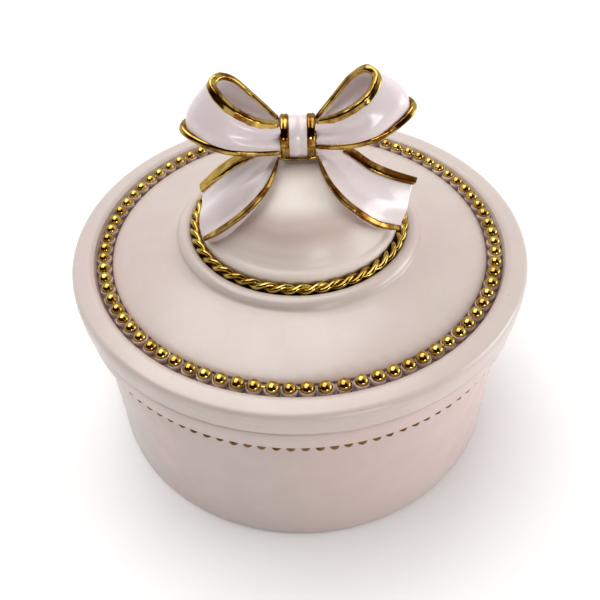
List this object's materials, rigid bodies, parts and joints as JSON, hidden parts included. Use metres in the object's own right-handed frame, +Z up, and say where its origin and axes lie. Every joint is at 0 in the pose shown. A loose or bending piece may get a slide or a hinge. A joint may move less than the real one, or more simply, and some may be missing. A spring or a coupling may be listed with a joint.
{
  "type": "trinket box",
  "caption": "Round resin trinket box with a lift-off beaded lid, a domed knob ringed by a gold rope, and a moulded ribbon bow as its handle.",
  "frame": {"origin": "centre of the underside, on the surface that the box stands on", "axes": "+Z up along the box's axis, -Y towards the front of the bow, +X to the right when facing the front of the bow"},
  "size_m": [0.1094, 0.1094, 0.0973],
  "materials": {
    "blush_resin": "satin blush-beige painted cast resin with a faint pink tint",
    "dome_resin": "satin cream painted cast resin",
    "ribbon_resin": "semi-gloss pale lilac-pink painted cast resin",
    "gold_trim": "bright metallic gold plating on cast resin",
    "pad_felt": "short-napped grey-beige felt"
  },
  "bodies": {
    "bowl": {"foot_pad": "pad_felt", "base_bowl": "blush_resin", "base_bead_trim": "gold_trim"},
    "lid": {"lid_shell": "blush_resin", "lid_bead_trim": "gold_trim", "lid_rope_trim": "gold_trim", "lid_dome": "dome_resin", "bow_core": "ribbon_resin", "knot_band": "ribbon_resin", "knot_left_edge": "gold_trim", "knot_right_edge": "gold_trim", "left_loop": "ribbon_resin", "left_loop_upper_edge": "gold_trim", "left_loop_lower_edge": "gold_trim", "right_loop": "ribbon_resin", "right_loop_upper_edge": "gold_trim", "right_loop_lower_edge": "gold_trim", "left_tail": "ribbon_resin", "left_tail_inner_edge": "gold_trim", "left_tail_outer_edge": "gold_trim", "right_tail": "ribbon_resin", "right_tail_inner_edge": "gold_trim", "right_tail_outer_edge": "gold_trim"}
  },
  "joints": [
    {"name": "lid_lift", "type": "slide", "parent": "bowl", "child": "lid", "axis": [0, 0, 1], "range_m": [0, 0.06]}
  ]
}
